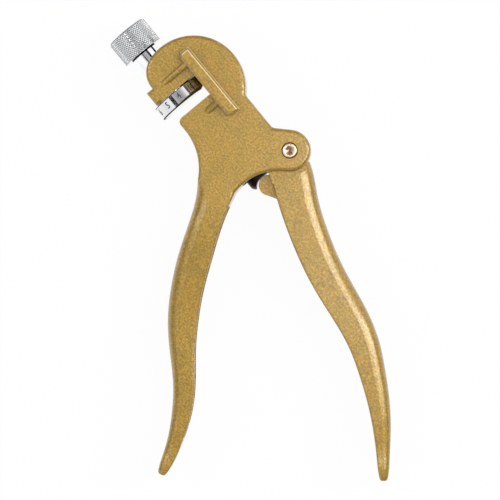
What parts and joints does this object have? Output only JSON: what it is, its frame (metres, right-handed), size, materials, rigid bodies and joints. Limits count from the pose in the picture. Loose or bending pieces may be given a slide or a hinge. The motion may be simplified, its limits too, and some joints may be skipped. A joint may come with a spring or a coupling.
{
  "type": "saw set",
  "caption": "Pistol-grip saw set: squeezing a pivoted lever clamps the saw plate against a bevelled anvil wheel and drives a hammer that bends one tooth.",
  "frame": {"origin": "centre of the anvil wheel's front face, in the tool's middle plane", "axes": "+X along the anvil's axis from the knob to the lever; +Y into the saw slot, square to the saw's tooth line; +Z across the tool, up when it lies on its side"},
  "size_m": [0.2049, 0.1307, 0.03],
  "materials": {
    "gold_paint": "metallic gold paint with fine flake over a cast surface",
    "pin_nickel": "nickel-plated, staked end",
    "anvil_steel": "polished and plated, stamped numbers on the rim",
    "chrome_plate": "bright chrome, diamond knurl on the knob",
    "plunger_steel": "turned steel",
    "hammer_steel": "hardened and ground steel",
    "black_oxide": "blackened steel",
    "spring_steel": "oiled spring steel"
  },
  "bodies": {
    "body": {"body_casting": "gold_paint", "pivot_pin": "pin_nickel", "return_spring": "spring_steel"},
    "lever": {"lever_casting": "gold_paint"},
    "hammer": {"hammer": "hammer_steel", "thrust_cap": "black_oxide", "clamp_spring": "spring_steel"},
    "clamp": {"clamp_plunger": "plunger_steel"},
    "anvil": {"anvil_wheel": "anvil_steel"},
    "screw": {"anvil_screw": "chrome_plate"}
  },
  "joints": [
    {"name": "lever_squeeze", "type": "hinge", "parent": "body", "child": "lever", "pos_m": [0.0417, 0.0201, 0], "axis": [0, 0, -1], "range_deg": [0, 17], "stiffness_Nm_per_rad": 1, "springref_deg": -17.19},
    {"name": "hammer_stroke", "type": "slide", "parent": "body", "child": "hammer", "axis": [-1, 0, 0], "range_m": [0, 0.00465], "deforming": ["clamp_spring"]},
    {"name": "clamp_stroke", "type": "slide", "parent": "body", "child": "clamp", "axis": [-1, 0, 0], "range_m": [0, 0.00361], "deforming": ["return_spring"]},
    {"name": "anvil_turn", "type": "hinge", "parent": "body", "child": "anvil", "pos_m": [0, 0, 0], "axis": [1, 0, 0], "continuous": true},
    {"name": "screw_turn", "type": "hinge", "parent": "body", "child": "screw", "pos_m": [0, 0, 0], "axis": [1, 0, 0], "continuous": true}
  ],
  "couplings": [
    {"joint": "hammer_stroke", "follows": "lever_squeeze", "m_per_rad": 0.01565},
    {"joint": "clamp_stroke", "follows": "lever_squeeze", "m_per_rad": 0.012133}
  ]
}
